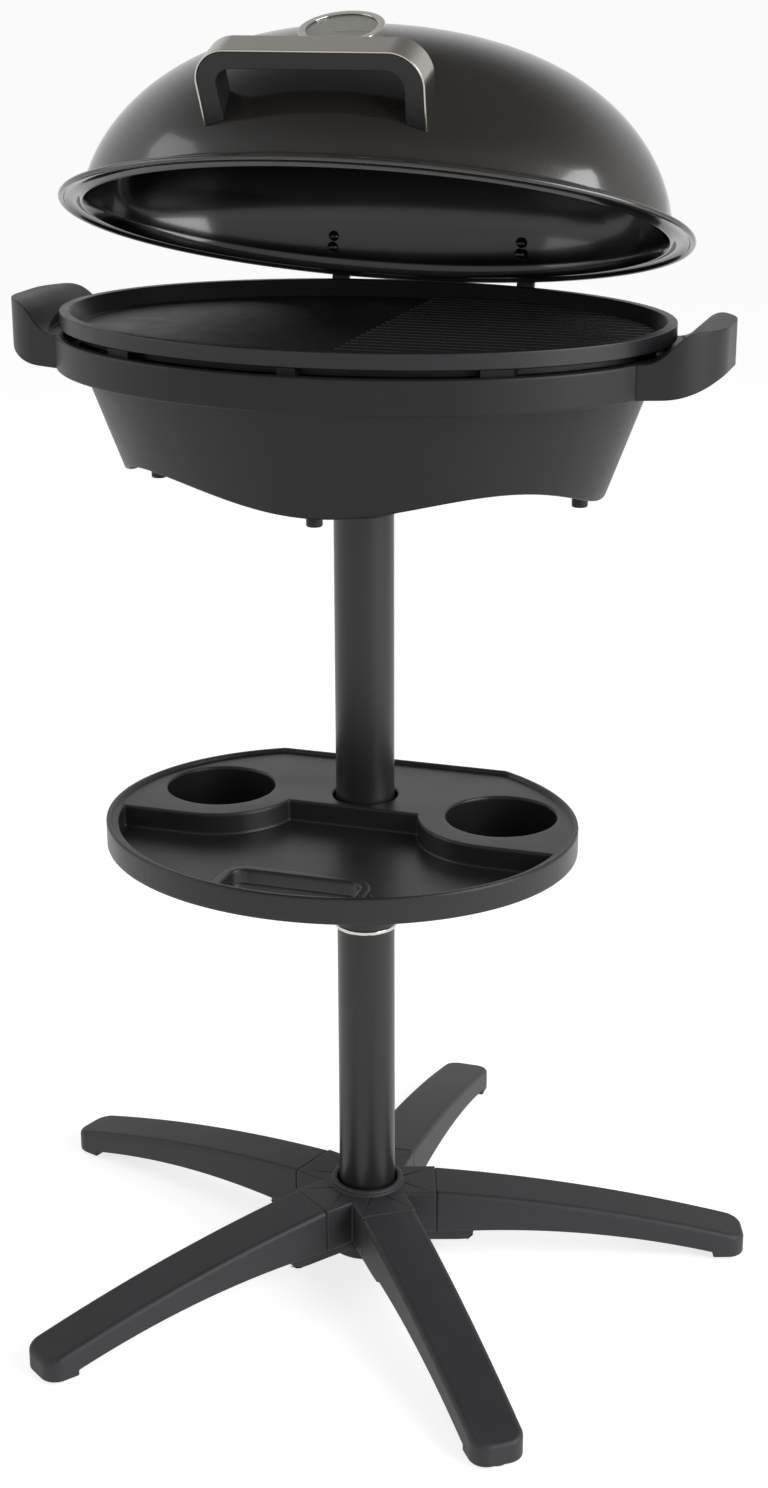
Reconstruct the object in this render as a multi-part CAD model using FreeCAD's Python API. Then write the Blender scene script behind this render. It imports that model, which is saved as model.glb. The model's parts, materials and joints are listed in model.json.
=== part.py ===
import FreeCAD, Part
import math
import os

from FreeCAD import Matrix, Vector

# Lengths are in millimetres, angles in degrees.
# X runs to the right seen from the front, the front faces -Y and Z is up.
# Pieces are drawn with the column on the Z axis and the floor at zero height.

# Gaps shared by mating pieces
overrun = 2.0          # a cutting body runs this far past the face it cuts
seat_gap = 0.1         # between a piece and the curved or sunk face that carries it
slide_gap = 0.3        # between curved faces that move past each other or are pressed in
pin_gap = 0.05         # running fit of a pin, on the radius
rod_seam_angle = 45.0  # turns the seam line of a level rod away from its crown

# Column
tube_radius = 25.0
tube_wall = 1.5
hub_bottom = 10.0
hub_floor = 4.0
lower_tube_length = 362.0
upper_tube_length = 368.0
column_foot = hub_bottom + hub_floor
tubes_meet = column_foot + lower_tube_length
column_top = tubes_meet + upper_tube_length
coupling_wall = 2.0
coupling_half = 80.0
coupling_bottom = tubes_meet - coupling_half
coupling_top = tubes_meet + coupling_half
sleeve_wall = 1.6
sleeve_drop = 47.0
sleeve_rise = 48.0
collar_thick = 4.0
collar_lip = 7.3
sleeve_bottom = tubes_meet - sleeve_drop
collar_top = tubes_meet + sleeve_rise
collar_bottom = collar_top - collar_thick
collar_radius = tube_radius + seat_gap + sleeve_wall + collar_lip
ring_wall = 2.3
ring_height = 3.5

# Base
leg_names = ("front_right", "right", "rear", "left", "front_left")
first_leg_angle = 36.0      # from the front, towards the right
hub_wall = 11.0
hub_arm_reach = 26.0
leg_length = 281.0
hub_radius = tube_radius + hub_wall
seam_radius = hub_radius + hub_arm_reach
leg_tip_radius = seam_radius + leg_length
leg_root_half = 25.0
leg_tip_half = 22.5
leg_tip_corner = 15.0
leg_root_low = 31.0
leg_root_depth = 41.0
leg_root_top = leg_root_low + leg_root_depth
leg_mid_share = 0.49        # where along the leg its middle height is given
leg_mid_low = 28.5
leg_mid_depth = 25.5
leg_mid_top = leg_mid_low + leg_mid_depth
leg_mid_radius = seam_radius + leg_length * leg_mid_share
pad_height = 3.0
pad_radius = 11.0
foot_length = 29.0
foot_rise = 5.0
tip_depth = 19.0
foot_inner_radius = leg_tip_radius - foot_length
foot_step = pad_height + foot_rise
leg_tip_top = pad_height + tip_depth
leg_wall = 3.5
leg_edge_round = 5.0
hollow_end_rise = 2.0
hollow_end_top = leg_tip_top + hollow_end_rise
pad_place = leg_tip_radius - foot_length / 2
lip_wall = 7.0
lip_gap = 2.0
lip_height = 5.0
lip_radius = tube_radius + lip_wall
lip_bore = tube_radius + lip_gap
lip_top = leg_root_top + lip_height
tongue_reach = 34.0
tongue_drop = 9.0
tongue_end = seam_radius + tongue_reach
tongue_low = leg_root_low - tongue_drop
tongue_top = leg_root_top - tongue_drop
tongue_corner = 8.0
tongue_wall = 3.5
tongue_root_wall = 5.0
tongue_hollow_start = hub_radius + tongue_root_wall

# Tray
tray_half_x = 198.0
tray_half_y = 173.0
tray_forward = 65.0
tray_rear_reach = 148.0
tray_hub_height = 23.0
tray_lip = 3.0
deck_thick = 3.0
skirt_height = 22.0
skirt_wall = 3.0
lip_width = 4.5
cup_radius = 46.5
cup_border = 26.5
cup_back = 47.0
cup_depth = 45.0
well_wall = 2.5
pocket_inset = 10.0
pocket_back = 31.0
pocket_border = 23.5
pocket_depth = 19.0
slot_half = 54.0
slot_front_border = 20.0
slot_length = 48.0
slot_corner = 12.0
slot_border = 9.0
border_drop = 9.0
tray_gap = 3.0
tray_hub_wall = 8.0
tray_centre_y = -tray_forward
tray_front = tray_centre_y - tray_half_y
tray_rear = tray_centre_y + tray_rear_reach
deck_top = collar_top + tray_hub_height
tray_top = deck_top + tray_lip
skirt_bottom = tray_top - skirt_height
cup_x = tray_half_x - cup_radius - cup_border
cup_y = tray_centre_y + cup_back
cup_floor = deck_top - cup_depth
pocket_rear = tray_centre_y + pocket_back
pocket_bulge = cup_radius + pocket_border
pocket_floor = deck_top - pocket_depth
slot_front = tray_front + slot_front_border
slot_rear = slot_front + slot_length
border_top = deck_top - border_drop
tray_hole = tube_radius + tray_gap
tray_hub_radius = tray_hole + tray_hub_wall

# Housing of the grill head, which stands on the column
band_half_x = 256.0
band_half_y = 190.0
band_height = 27.0
band_wall = 8.0
ledge_thick = 3.0
bowl_step = 22.0
bowl_depth = 55.0
bowl_draft_share = 0.37     # inward run of the bowl's wall for each unit of drop
bowl_wall = 3.0
floor_thick = 5.0
socket_cap = 4.0
socket_flange_thick = 4.0
edge_drop = 27.5
edge_swing = 10.5
edge_waves = 4
edge_steps = 48
edge_reach = 40.0
edge_spare = 7.0
socket_roof = column_top + socket_cap
floor_under = socket_roof + socket_flange_thick
floor_top = floor_under + floor_thick
band_bottom = floor_top + bowl_depth
band_top = band_bottom + band_height
ledge_top = band_bottom + ledge_thick
bowl_half_x = band_half_x - bowl_step
bowl_half_y = band_half_y - bowl_step
edge_mean = floor_top - edge_drop
bowl_end = edge_mean - edge_swing - edge_spare

# Side handles
seam_y = 70.0
handle_length = 41.0
handle_taper = 20.0
handle_corner = 50.0
handle_bay_depth = 56.0
handle_rise = 23.0
handle_depth = 33.0
rise_inset = 16.0
rise_end_inset = 13.0
rise_middle_share = 0.48    # height of the rise half way along it
handle_ledge_inset = 10.0
tongue_ring_inset = 19.0
tongue_ring_height = 13.0
plate_gap = 9.0
grip_wall = 6.0
grip_roof_wall = 14.0
grip_width = 24.0
grip_end = 16.0
grip_corner = 8.0
handle_screw_inset = 20.8
handle_screw_y = 40.0
handle_screw_length = 12.0
handle_reach = band_half_x + handle_length
handle_corner_y = seam_y - handle_taper
handle_root = band_half_x - handle_bay_depth
handle_top = band_top + handle_rise
handle_under = handle_top - handle_depth
rise_start = band_half_x - rise_inset
rise_end = handle_reach - rise_end_inset
rise_middle = (rise_start + rise_end) / 2
rise_middle_top = band_top + handle_rise * rise_middle_share
tongue_ring_top = ledge_top + tongue_ring_height
grip_outer = handle_reach - grip_wall
grip_inner = grip_outer - grip_width
grip_half = handle_corner_y - grip_end
grip_roof = handle_top - grip_roof_wall
handle_screw_x = band_half_x - handle_screw_inset

# Screws
screw_radius = 2.0
screw_head_radius = 3.6
screw_head = 2.5

# Column socket and table feet
socket_wall = 3.7
socket_depth = 49.0
socket_flange_reach = 22.0
socket_screw_reach = 13.0
socket_screw_count = 4
foot_peg_radius = 6.5
foot_peg_reach = 8.0
foot_peg_inset_x = 53.0
foot_peg_inset_y = 46.0
socket_bottom = column_top - socket_depth
socket_flange_radius = tube_radius + socket_flange_reach
socket_screw_circle = tube_radius + socket_screw_reach
foot_peg_bottom = edge_mean - edge_swing - foot_peg_reach
foot_peg_x = bowl_half_x - foot_peg_inset_x
foot_peg_y = bowl_half_y - foot_peg_inset_y

# Grill plate
plate_inset_x = 4.0
plate_inset_y = 8.0
plate_lift = 5.0
rim_height = 13.0
rim_width = 8.0
body_inset = 12.0
body_depth = 7.0
plate_floor = 6.5
pan_inset = 16.0
rib_start = 12.0
rib_pitch = 13.0
rib_width = 4.5
rib_height = 3.5
post_inset = 11.5
post_x = 150.0
post_half = 11.0
middle_post_half = 7.0
plate_half_x = band_half_x - plate_inset_x
plate_half_y = band_half_y - plate_inset_y
rim_low = band_top + plate_lift
plate_top = rim_low + rim_height
plate_bottom = rim_low - body_depth
pan_floor = plate_bottom + plate_floor
rib_top = pan_floor + rib_height
rib_rows = int((plate_half_y - pan_inset - rib_width) / rib_pitch)

# Reflector and heater
reflector_gap = 4.0
reflector_sheet = 1.0
reflector_rim_drop = 4.0
heater_radius = 4.0
heater_plate_gap = 13.0
heater_lead = 10.0
heater_inset_x = 69.0
heater_inset_y = 63.0
heater_bend = 60.0
lead_bend = 22.0
stand_width = 16.0
stand_thick = 3.0
reflector_top = band_bottom - reflector_rim_drop
heater_height = plate_bottom - heater_plate_gap - heater_radius
heater_half_x = bowl_half_x - heater_inset_x
heater_half_y = bowl_half_y - heater_inset_y

# Power inlet
inlet_half = 22.0
inlet_half_height = 6.5
inlet_inset = 12.0
inlet_reach = 13.0
inlet_wall = 2.5
inlet_back = 8.0
inlet_pin_radius = 2.2
inlet_pin_inset = 4.0
earth_width = 6.0
earth_thick = 1.5
inlet_front = band_half_y - inlet_inset
inlet_rear = band_half_y + inlet_reach
inlet_low = heater_height - inlet_half_height
inlet_high = heater_height + inlet_half_height
inlet_floor = inlet_front + inlet_back
inlet_pin_end = inlet_rear - inlet_pin_inset

# Lid, drawn closed
lid_reach_x = 8.0
lid_reach_y = 7.0
lid_gap = 1.0
flange_width = 19.0
bead_width = 5.0
bead_depth = 5.0
bead_chamfer = 1.5
lid_sheet = 1.2
dome_height = 146.0
dome_plan_power = 2.5
dome_rise_power = 1.8
dome_steps = 20
lid_rest_angle = 21.2       # how far the lid stands open
lid_half_x = plate_half_x + lid_reach_x
lid_half_y = plate_half_y + lid_reach_y
dome_half_x = lid_half_x - flange_width
dome_half_y = lid_half_y - flange_width
flange_low = plate_top + lid_gap

# Hinges
hinge_x = 84.0
hinge_drop = 8.0
knuckle_radius = 5.5
hinge_half = 16.0
leaf_half = 7.8
leaf_clear = 0.5
leaf_swing_gap = 1.5
hinge_pin_radius = 2.5
hinge_pin_half = 18.0
bracket_lift = 1.0
bracket_drop = 2.0
bracket_reach = 4.0
bracket_inset = 25.0
leaf_thick = 4.0
shelf_lift = 4.0
leaf_pad_half = 9.0
leaf_pad_inset = 5.0
leaf_pad_height = 35.0
leaf_root_inset = 30.0
bracket_screw_side = 11.5
bracket_screw_lift = 5.5
bracket_screw_inset = 26.0
lower_bolt_lift = 16.0
upper_bolt_lift = 25.5
bolt_radius = 2.5
bolt_head_radius = 4.2
bolt_head_inset = 19.5
bolt_head_ball = 5.5
hinge_y = band_half_y
hinge_z = band_top - hinge_drop
bracket_low = band_bottom + bracket_lift
bracket_high = hinge_z - bracket_drop
bracket_back = band_half_y + bracket_reach
bracket_root = band_half_y - bracket_inset
gap_low = hinge_z - knuckle_radius - leaf_swing_gap
leaf_front = hinge_y - knuckle_radius - slide_gap
shelf_low = flange_low + shelf_lift
shelf_high = shelf_low + leaf_thick
leaf_pad_back = dome_half_y - leaf_pad_inset
leaf_pad_top = flange_low + leaf_pad_height
leaf_root = dome_half_y - leaf_root_inset
bracket_screw_z = bracket_low + bracket_screw_lift
bracket_screw_reach = band_half_y - bracket_screw_inset
bolt_heights = (flange_low + lower_bolt_lift, flange_low + upper_bolt_lift)
bolt_head_front = dome_half_y - bolt_head_inset

# Lid handle
handle_base_inset = 22.0
handle_base_lift = 40.0
handle_tilt_angle = 48.0    # rise of the handle's legs above the forward direction
bar_half = 90.0
leg_lean = 5.0
bar_height = 57.0
handle_sunk = 30.0
bar_bend = 26.0
strip_thick = 1.5
strip_half_width = 13.0
core_half_width = 12.5
bar_thick = 15.0
bar_foot_thick = 16.0
inner_bend = 14.0
lid_screw_end = 32.0
lid_screw_depth = 26.0
lid_screw_radius = 2.5
lid_screw_head_radius = 6.0
handle_base_y = handle_base_inset - dome_half_y
handle_base_z = flange_low + handle_base_lift
leg_foot_half = bar_half - leg_lean
inner_foot_half = leg_foot_half - bar_foot_thick
lid_screw_x = (leg_foot_half + inner_foot_half) / 2
lid_screw_start = -lid_screw_depth

# Thermometer
gauge_inset = 54.0
case_radius = 31.0
case_sunk = 8.0
case_height = 4.5
case_floor = 1.5
case_wall = 2.0
dial_thick = 0.8
glass_thick = 1.5
bezel_radius = 33.0
bezel_bore = 27.5
bezel_low = 0.5
bezel_high = 7.0
spindle_radius = 1.0
needle_low = 2.9
needle_high = 3.5
needle_long = 23.0
needle_tail = 7.0
needle_half = 0.9
needle_hub = 3.0
stem_radius = 3.5
stem_length = 36.0
nut_radius = 9.0
nut_depth = 12.0
gauge_y = gauge_inset - dome_half_y

X_AXIS = Vector(1, 0, 0)
Y_AXIS = Vector(0, 1, 0)
Z_AXIS = Vector(0, 0, 1)
ORIGIN = Vector(0, 0, 0)


# Plain shapes

def oval_wire(half_x, half_y, height, y=0.0):
    curve = Part.Ellipse(Vector(0, y, height), half_x, half_y)
    return Part.Wire(curve.toShape())


def oval_block(half_x, half_y, low, high, y=0.0):
    face = Part.Face(oval_wire(half_x, half_y, low, y))
    return face.extrude(Z_AXIS * (high - low))


def oval_taper(low_x, low_y, low, high_x, high_y, high):
    wires = [oval_wire(low_x, low_y, low), oval_wire(high_x, high_y, high)]
    return Part.makeLoft(wires, True, True)


def cylinder(radius, low, high, x=0.0, y=0.0):
    return Part.makeCylinder(radius, high - low, Vector(x, y, low))


def tube(outer, inner, low, high):
    return cylinder(outer, low, high).cut(cylinder(inner, low - overrun, high + overrun))


def rod_x(radius, low, high, y, z):
    return Part.makeCylinder(radius, high - low, Vector(low, y, z), X_AXIS)


def rod_y(radius, low, high, x, z):
    start = Vector(x, low, z)
    rod = Part.makeCylinder(radius, high - low, start, Y_AXIS)
    rod.rotate(start, Y_AXIS, rod_seam_angle)
    return rod


def block(x_low, x_high, y_low, y_high, z_low, z_high):
    corner = Vector(x_low, y_low, z_low)
    return Part.makeBox(x_high - x_low, y_high - y_low, z_high - z_low, corner)


def corner_arc(before, corner, after, radius):
    to_before = (before - corner).normalize()
    to_after = (after - corner).normalize()
    half = to_before.getAngle(to_after) / 2
    cut = radius / math.tan(half)
    inward = (to_before + to_after).normalize()
    start = corner + to_before * cut
    end = corner + to_after * cut
    middle = corner + inward * (radius / math.sin(half) - radius)
    return start, middle, end


def rounded_wire(corners, radii, closed=True):
    """Lines through the corners, with an arc of its own radius at each corner."""
    count = len(corners)
    edges = []
    joints = []
    for index, corner in enumerate(corners):
        if radii[index] == 0:
            joints.append((corner, None, corner))
            continue
        before = corners[index - 1]
        after = corners[(index + 1) % count]
        joints.append(corner_arc(before, corner, after, radii[index]))
    for index, (start, middle, end) in enumerate(joints):
        if middle is not None:
            edges.append(Part.Arc(start, middle, end).toShape())
        if closed or index < count - 1:
            edges.append(Part.makeLine(end, joints[(index + 1) % count][0]))
    return Part.Wire(edges)


def outline_block(corners, radii, direction):
    face = Part.Face(rounded_wire(corners, radii))
    return face.extrude(direction)


def fuse_all(shapes):
    first = shapes[0]
    return first.multiFuse(shapes[1:]).removeSplitter()


def both_sides(shape):
    return [shape, shape.mirror(ORIGIN, X_AXIS)]


def group(shapes):
    return Part.makeCompound(shapes)


# Column

def make_lower_tube():
    return tube(tube_radius, tube_radius - tube_wall, column_foot, tubes_meet)


def make_upper_tube():
    return tube(tube_radius, tube_radius - tube_wall, tubes_meet, column_top)


def make_tube_coupling():
    outer = tube_radius - tube_wall - seat_gap
    return tube(outer, outer - coupling_wall, coupling_bottom, coupling_top)


def make_joint_sleeve():
    bore = tube_radius + seat_gap
    sleeve = tube(bore + sleeve_wall, bore, sleeve_bottom, collar_top)
    collar = tube(collar_radius, bore, collar_bottom, collar_top)
    return fuse_all([sleeve, collar])


def make_joint_ring():
    bore = tube_radius + seat_gap
    return tube(bore + ring_wall, bore, sleeve_bottom - ring_height, sleeve_bottom)


# Base

def turn_to_leg(shape, index):
    step = 360 / len(leg_names)
    turned = shape.copy()
    turned.rotate(ORIGIN, Z_AXIS, first_leg_angle + index * step - 90)
    return turned


def leg_side():
    """Side view of a leg that points along X."""
    root_top = Vector(seam_radius, 0, leg_root_top)
    tip_top = Vector(leg_tip_radius, 0, leg_tip_top)
    tip_low = Vector(leg_tip_radius, 0, pad_height)
    foot_low = Vector(foot_inner_radius, 0, pad_height)
    foot_high = Vector(foot_inner_radius, 0, foot_step)
    root_low = Vector(seam_radius, 0, leg_root_low)
    top = Part.Arc(root_top, Vector(leg_mid_radius, 0, leg_mid_top), tip_top)
    under = Part.Arc(foot_high, Vector(leg_mid_radius, 0, leg_mid_low), root_low)
    lines = [Part.makeLine(tip_top, tip_low), Part.makeLine(tip_low, foot_low)]
    lines.append(Part.makeLine(foot_low, foot_high))
    return Part.Wire([top.toShape()] + lines + [under.toShape(), Part.makeLine(root_low, root_top)])


def leg_plan(inset, end, low, high):
    root = leg_root_half - inset
    tip = leg_tip_half - inset
    corner = leg_tip_corner - inset
    corners = [Vector(seam_radius, -root, low), Vector(end, -tip, low)]
    corners += [Vector(end, tip, low), Vector(seam_radius, root, low)]
    return outline_block(corners, [0, corner, corner, 0], Z_AXIS * (high - low))


def leg_hollow():
    end = foot_inner_radius - leg_wall
    start_top = Vector(seam_radius, 0, leg_root_top - leg_wall)
    middle_top = Vector(leg_mid_radius, 0, leg_mid_top - leg_wall)
    end_top = Vector(end, 0, hollow_end_top)
    end_low = Vector(end, 0, -overrun)
    start_low = Vector(seam_radius, 0, -overrun)
    roof = Part.Arc(start_top, middle_top, end_top).toShape()
    lines = [Part.makeLine(end_top, end_low), Part.makeLine(end_low, start_low)]
    lines.append(Part.makeLine(start_low, start_top))
    side = Part.Face(Part.Wire([roof] + lines))
    side.translate(Y_AXIS * -leg_root_half)
    side = side.extrude(Y_AXIS * (leg_root_half + leg_root_half))
    return side.common(leg_plan(leg_wall, end, -overrun, leg_root_top))


def make_leg():
    side = Part.Face(leg_side())
    side.translate(Y_AXIS * -leg_root_half)
    solid = side.extrude(Y_AXIS * (leg_root_half + leg_root_half))
    solid = solid.common(leg_plan(0, leg_tip_radius, 0, leg_root_top + overrun))
    top = max(solid.Faces, key=lambda face: face.CenterOfMass.z)
    long_edges = [edge for edge in top.Edges if edge.BoundBox.XMax > seam_radius + overrun]
    solid = solid.makeFillet(leg_edge_round, long_edges)
    return solid.cut(leg_hollow())


def make_leg_pad():
    return cylinder(pad_radius, 0, pad_height, pad_place)


def tongue_block(inset, start, end, low, high):
    half = leg_root_half - leg_wall - slide_gap - inset
    corners = [Vector(start, -half, low), Vector(end, -half, low)]
    corners += [Vector(end, -half, high), Vector(start, -half, high)]
    return outline_block(corners, [0, tongue_corner, 0, 0], Y_AXIS * (half + half))


def make_hub_arm():
    half = leg_root_half
    stub = block(0, seam_radius, -half, half, leg_root_low, leg_root_top)
    tongue = tongue_block(0, 0, tongue_end, tongue_low, tongue_top)
    return fuse_all([stub, tongue])


def make_arm_hollow():
    end = tongue_end - tongue_wall
    roof = tongue_top - tongue_wall
    return tongue_block(tongue_wall, tongue_hollow_start, end, tongue_low - tongue_corner, roof)


def make_base_hub():
    arm = make_hub_arm()
    hollow = make_arm_hollow()
    order = range(len(leg_names))
    pieces = [cylinder(hub_radius, hub_bottom, leg_root_top)]
    pieces.append(cylinder(lip_radius, leg_root_top, lip_top))
    pieces += [turn_to_leg(arm, index) for index in order]
    hub = fuse_all(pieces)
    for index in order:
        hub = hub.cut(turn_to_leg(hollow, index))
    hub = hub.cut(cylinder(tube_radius + seat_gap, column_foot, lip_top + overrun))
    return hub.cut(cylinder(lip_bore, leg_root_top, lip_top + overrun))


# Tray

def tray_outline(inset, low, high):
    oval = oval_block(tray_half_x - inset, tray_half_y - inset, low, high, tray_centre_y)
    return oval.common(block(-tray_half_x, tray_half_x, tray_front, tray_rear - inset, low, high))


def tray_pocket(grow, low, high):
    shape = tray_outline(pocket_inset - grow, low, high)
    shape = shape.common(block(-tray_half_x, tray_half_x, tray_front, pocket_rear + grow, low, high))
    bulge = pocket_bulge - grow
    for side in both_sides(cylinder(bulge, low, high, cup_x, cup_y)):
        shape = shape.cut(side)
    outer_end = block(cup_x, tray_half_x, cup_y - bulge, tray_rear, low, high)
    for side in both_sides(outer_end):
        shape = shape.cut(side)
    return shape


def slot_block(grow, low, high):
    half = slot_half + grow
    corners = [Vector(-half, slot_front - grow, low), Vector(half, slot_front - grow, low)]
    corners += [Vector(half, slot_rear + grow, low), Vector(-half, slot_rear + grow, low)]
    return outline_block(corners, [slot_corner + grow] * len(corners), Z_AXIS * (high - low))


def make_tray():
    under = pocket_floor - well_wall
    above = tray_top + overrun
    shell = tray_outline(0, skirt_bottom, tray_top)
    shell = shell.cut(tray_outline(lip_width, deck_top, above))
    shell = shell.cut(tray_outline(skirt_wall, skirt_bottom - overrun, deck_top - deck_thick))
    border = slot_block(slot_border, under, border_top)
    border = border.common(tray_outline(skirt_wall, under, border_top))
    cup = cylinder(cup_radius + well_wall, cup_floor - well_wall, deck_top, cup_x, cup_y)
    hub = cylinder(tray_hub_radius, collar_top, deck_top)
    pieces = [shell, tray_pocket(well_wall, under, deck_top), border, hub] + both_sides(cup)
    tray = fuse_all(pieces)
    tray = tray.cut(tray_pocket(0, pocket_floor, above).cut(border))
    for cup_space in both_sides(cylinder(cup_radius, cup_floor, above, cup_x, cup_y)):
        tray = tray.cut(cup_space)
    tray = tray.cut(slot_block(0, under - overrun, above))
    return tray.cut(cylinder(tray_hole, collar_top - overrun, above)).removeSplitter()


# Housing

def bowl_block(inset, low, high):
    """The bowl's sloping outline between two heights, moved inwards by the inset."""
    low_run = (band_bottom - low) * bowl_draft_share + inset
    high_run = (band_bottom - high) * bowl_draft_share + inset
    low_x = bowl_half_x - low_run
    low_y = bowl_half_y - low_run
    return oval_taper(low_x, low_y, low, bowl_half_x - high_run, bowl_half_y - high_run, high)


def wave_curve(run):
    points = []
    for step in range(edge_steps):
        angle = 2 * math.pi * step / edge_steps
        height = edge_mean - edge_swing * math.cos(edge_waves * angle)
        x = (bowl_half_x + run) * math.cos(angle)
        y = (bowl_half_y + run) * math.sin(angle)
        points.append(Vector(x, y, height))
    curve = Part.BSplineCurve()
    curve.interpolate(Points=points, PeriodicFlag=True)
    return curve.toShape()


def wave_cutter():
    """Everything under the bowl's waved lower edge."""
    inner_run = -edge_reach - edge_reach
    skin = Part.makeRuledSurface(wave_curve(edge_reach), wave_curve(inner_run))
    return skin.extrude(Z_AXIS * (bowl_end - edge_mean - edge_reach))


def handle_bay(low, high):
    return block(handle_root, handle_reach, -seam_y, seam_y, low, high)


def make_band():
    """The upright band, open where the side handles and the power inlet sit."""
    band = oval_block(band_half_x, band_half_y, ledge_top, band_top)
    band = band.cut(oval_block(band_half_x - band_wall, band_half_y - band_wall,
                               ledge_top - overrun, band_top + overrun))
    for side in both_sides(handle_bay(band_bottom, band_top + overrun)):
        band = band.cut(side)
    for x in bracket_screw_places():
        hole = rod_y(screw_radius + seat_gap, bracket_screw_reach, bracket_back, x, bracket_screw_z)
        band = band.cut(hole)
    return band


def make_ledge():
    """The flat ring that joins the bowl and the band, cut back under the side handles."""
    ledge = oval_block(band_half_x, band_half_y, band_bottom, ledge_top)
    inset = handle_ledge_inset
    kept = oval_block(band_half_x - inset, band_half_y - inset, band_bottom - overrun, ledge_top + overrun)
    bay = handle_bay(band_bottom - overrun, ledge_top + overrun).cut(kept)
    for side in both_sides(bay):
        ledge = ledge.cut(side)
    for x, y in handle_screw_places():
        hole = cylinder(screw_radius + seat_gap, band_bottom - overrun, ledge_top + overrun, x, y)
        ledge = ledge.cut(hole)
    return ledge


def make_bowl():
    bowl = bowl_block(0, bowl_end, band_bottom)
    bowl = bowl.cut(bowl_block(bowl_wall, bowl_end - overrun, floor_under))
    bowl = bowl.cut(wave_cutter())
    for x, y in socket_screw_places():
        hole = cylinder(screw_radius + seat_gap, floor_under - overrun, floor_top, x, y)
        bowl = bowl.cut(hole)
    return bowl


def make_housing():
    housing = fuse_all([make_bowl(), make_ledge(), make_band()])
    housing = housing.cut(bowl_block(bowl_wall, floor_top, band_bottom + ledge_thick))
    window = block(-inlet_half - seat_gap, inlet_half + seat_gap, inlet_front, inlet_rear,
                   inlet_low - seat_gap, inlet_high + seat_gap)
    return housing.cut(window)


# Side handles

def handle_screw_places():
    ys = (-handle_screw_y, handle_screw_y)
    return [(x, y) for x in (-handle_screw_x, handle_screw_x) for y in ys]


def handle_under_arc(end):
    """Underside of a side handle: it leaves the band level and curves up to the outer end."""
    run = end - band_half_x
    rise = handle_under - band_bottom
    radius = (run ** 2 + rise ** 2) / (2 * rise)
    half_turn = math.atan(rise / run)
    middle_x = band_half_x + radius * math.sin(half_turn)
    middle_z = band_bottom + radius * (1 - math.cos(half_turn))
    middle = Vector(middle_x, 0, middle_z)
    start = Vector(band_half_x, 0, band_bottom)
    return Part.Arc(Vector(end, 0, handle_under), middle, start).toShape()


def handle_front_view():
    """Front view of a side handle, which rises towards its outer end."""
    end = handle_reach + overrun
    rise = Part.BSplineCurve()
    rise_points = [Vector(rise_start, 0, band_top), Vector(rise_middle, 0, rise_middle_top),
                   Vector(rise_end, 0, handle_top)]
    rise.interpolate(Points=rise_points, InitialTangent=X_AXIS, FinalTangent=X_AXIS)
    outer = [Vector(rise_end, 0, handle_top), Vector(end, 0, handle_top), Vector(end, 0, handle_under)]
    inner = [Vector(band_half_x, 0, band_bottom), Vector(handle_root, 0, band_bottom),
             Vector(handle_root, 0, band_top), Vector(rise_start, 0, band_top)]
    outer_lines = [Part.makeLine(a, b) for a, b in zip(outer, outer[1:])]
    inner_lines = [Part.makeLine(a, b) for a, b in zip(inner, inner[1:])]
    return Part.Face(Part.Wire([rise.toShape()] + outer_lines + [handle_under_arc(end)] + inner_lines))


def handle_plan(low, high):
    seam_x = band_half_x * math.sqrt(1 - (seam_y / band_half_y) ** 2)
    half = seam_y - seat_gap
    right = [Vector(handle_root, -half, low), Vector(seam_x, -half, low),
             Vector(handle_reach, -handle_corner_y, low), Vector(handle_reach, handle_corner_y, low),
             Vector(seam_x, half, low), Vector(handle_root, half, low)]
    return outline_block(right, [0, 0, handle_corner, handle_corner, 0, 0], Z_AXIS * (high - low))


def grip_hollow():
    low = band_bottom - overrun
    corners = [Vector(grip_inner, -grip_half, low), Vector(grip_outer, -grip_half, low),
               Vector(grip_outer, grip_half, low), Vector(grip_inner, grip_half, low)]
    return outline_block(corners, [grip_corner] * len(corners), Z_AXIS * (grip_roof - low))


def make_right_handle():
    wing = handle_front_view()
    wing.translate(Y_AXIS * -seam_y)
    wing = wing.extrude(Y_AXIS * (seam_y + seam_y))
    wing = wing.common(handle_plan(band_bottom, handle_top))
    inner_x = band_half_x - band_wall
    inner_y = band_half_y - band_wall
    wing = wing.cut(oval_block(inner_x, inner_y, ledge_top, band_top))
    ledge_x = band_half_x - handle_ledge_inset + seat_gap
    ledge_y = band_half_y - handle_ledge_inset + seat_gap
    wing = wing.cut(oval_block(ledge_x, ledge_y, band_bottom - overrun, ledge_top))
    clear_x = plate_half_x + plate_gap
    clear_y = plate_half_y + plate_gap
    wing = wing.cut(oval_block(clear_x, clear_y, band_top, handle_top + overrun))
    tongue = oval_block(band_half_x - band_wall + overrun, band_half_y - band_wall + overrun,
                        ledge_top, tongue_ring_top)
    tongue = tongue.cut(oval_block(band_half_x - tongue_ring_inset, band_half_y - tongue_ring_inset,
                                   ledge_top - overrun, tongue_ring_top + overrun))
    tongue = tongue.common(handle_plan(ledge_top, tongue_ring_top))
    handle = fuse_all([wing.cut(grip_hollow()), tongue])
    for x, y in handle_screw_places():
        top = ledge_top + handle_screw_length
        handle = handle.cut(cylinder(screw_radius + seat_gap, ledge_top - overrun, top, x, y))
    return handle


def make_left_handle():
    return make_right_handle().mirror(ORIGIN, X_AXIS)


def upright_screw(x, y, seat, length):
    head = cylinder(screw_head_radius, seat - screw_head, seat, x, y)
    shank = cylinder(screw_radius, seat, seat + length, x, y)
    return fuse_all([head, shank])


def make_handle_screws():
    length = handle_screw_length
    return group([upright_screw(x, y, band_bottom, length) for x, y in handle_screw_places()])


# Column socket and table feet

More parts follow.
